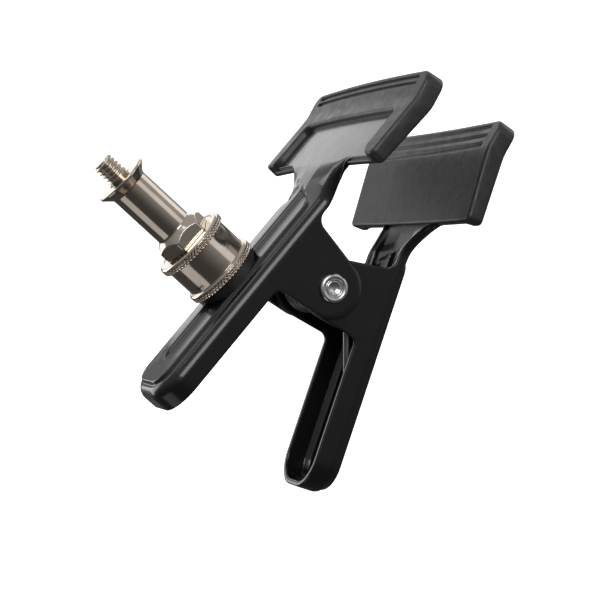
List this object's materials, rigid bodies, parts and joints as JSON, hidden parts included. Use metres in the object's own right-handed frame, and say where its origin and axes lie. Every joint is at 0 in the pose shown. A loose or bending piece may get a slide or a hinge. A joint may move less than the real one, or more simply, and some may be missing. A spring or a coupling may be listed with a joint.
{
  "type": "spring clamp with spigot",
  "caption": "Black pressed-steel spring clamp with wide rubber-booted jaws, sprung pivot and a nickel 16 mm spigot with a threaded stud on one arm.",
  "frame": {"origin": "centre of the spigot's top shoulder, where the stud thread starts", "axes": "+Z along the stud thread, +X from the spigot towards the jaws, +Y along the pivot"},
  "size_m": [0.1159, 0.082, 0.1101],
  "materials": {
    "black_paint": "gloss black baked paint",
    "boot_rubber": "satin black dipped rubber",
    "washer_rubber": "matt black",
    "nickel": "bright warm nickel plate",
    "zinc_steel": "bright zinc plate",
    "spring_steel": "drawn wire"
  },
  "bodies": {
    "upper": {"upper_arm": "black_paint", "upper_jaw_boot": "boot_rubber", "pivot_rivet": "zinc_steel", "pivot_sleeve": "zinc_steel", "torsion_spring": "spring_steel", "spigot": "nickel", "spigot_base": "nickel", "saddle_washer": "washer_rubber", "base_bolt": "zinc_steel", "plain_washer": "zinc_steel", "lock_washer": "zinc_steel"},
    "lower": {"lower_arm": "black_paint", "lower_jaw_boot": "boot_rubber"}
  },
  "joints": [
    {"name": "clamp_hinge", "type": "hinge", "parent": "upper", "child": "lower", "pos_m": [0.0152, 0, -0.0627], "axis": [0, 1, 0], "range_deg": [-18.1, 44], "stiffness_Nm_per_rad": 1.6, "springref_deg": -68.75, "deforming": ["torsion_spring"]}
  ]
}
